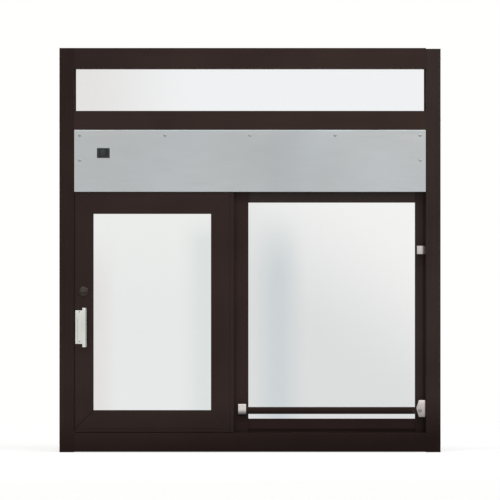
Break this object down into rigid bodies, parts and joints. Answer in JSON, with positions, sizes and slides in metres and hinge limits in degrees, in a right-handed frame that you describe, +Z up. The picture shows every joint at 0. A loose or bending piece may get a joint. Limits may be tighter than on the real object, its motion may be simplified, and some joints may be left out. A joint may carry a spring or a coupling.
{
  "type": "sliding concession window",
  "caption": "Aluminium service window with a sliding sash, a fixed light, a transom light, a header cover and a drop-down security bar.",
  "frame": {"origin": "middle of the sill's underside, at mid width and mid depth", "axes": "+X to the right as the room side shows it, +Y from the room to the street, +Z up"},
  "size_m": [1.2066, 0.1357, 1.2795],
  "materials": {
    "bronze_anodised": "dark bronze anodised, satin",
    "clear_anodised": "clear anodised, satin",
    "satin_hardware": "satin, lightly brushed",
    "steel": "zinc plated",
    "clear_glass": "clear polished float glass",
    "black_plastic": "fine matt moulding",
    "gasket_rubber": "black extruded rubber",
    "bar_fittings": "dark bronze moulding",
    "lock_bronze": "dark bronze, worn bright along its edges"
  },
  "bodies": {
    "window": {"left_jamb": "bronze_anodised", "right_jamb": "bronze_anodised", "head": "bronze_anodised", "transom_bar": "bronze_anodised", "sill": "bronze_anodised", "transom_side_stops": "bronze_anodised", "glazing_gaskets": "gasket_rubber", "header_cover": "clear_anodised", "cover_top_cleat": "steel", "cover_left_cleat": "steel", "cover_right_cleat": "steel", "header_outer_panel": "bronze_anodised", "header_soffit": "bronze_anodised", "header_track": "clear_anodised", "left_hanger": "steel", "right_hanger": "steel", "sash_left_stile": "bronze_anodised", "sash_right_stile": "bronze_anodised", "sash_top_rail": "bronze_anodised", "sash_bottom_rail": "bronze_anodised", "sash_hanger_rail": "bronze_anodised", "sash_guide_channel": "bronze_anodised", "sash_interlock": "bronze_anodised", "sash_glazing_beads": "bronze_anodised", "bottom_guide": "black_plastic", "fixed_left_stile": "bronze_anodised", "fixed_right_stile": "bronze_anodised", "fixed_top_rail": "bronze_anodised", "fixed_bottom_rail": "bronze_anodised", "fixed_glazing_beads": "bronze_anodised", "transom_glass": "clear_glass", "sash_glass": "clear_glass", "fixed_glass": "clear_glass", "pivot_bracket": "satin_hardware", "pivot_pin": "steel", "saddle_hook": "satin_hardware", "parking_clip": "satin_hardware", "pull_handle": "satin_hardware", "lock_collar": "lock_bronze", "switch_bezel": "black_plastic"},
    "bar": {"security_bar": "bronze_anodised", "bar_tip": "bar_fittings", "bar_pivot_end": "bar_fittings"},
    "thumb_turn": {"thumb_turn": "lock_bronze"},
    "rocker": {"switch_rocker": "black_plastic"}
  },
  "joints": [
    {"name": "bar_pivot", "type": "hinge", "parent": "window", "child": "bar", "pos_m": [0.538, -0.03515, 0.1304], "axis": [0, 1, 0], "range_deg": [0, 90]},
    {"name": "lock_turn", "type": "hinge", "parent": "window", "child": "thumb_turn", "pos_m": [-0.5267, -0.05515, 0.5075], "axis": [0, 1, 0], "range_deg": [0, 90]},
    {"name": "switch_rock", "type": "hinge", "parent": "window", "child": "rocker", "pos_m": [-0.4642, -0.05515, 0.9457], "axis": [0, 0, 1], "range_deg": [-8, 8]}
  ]
}
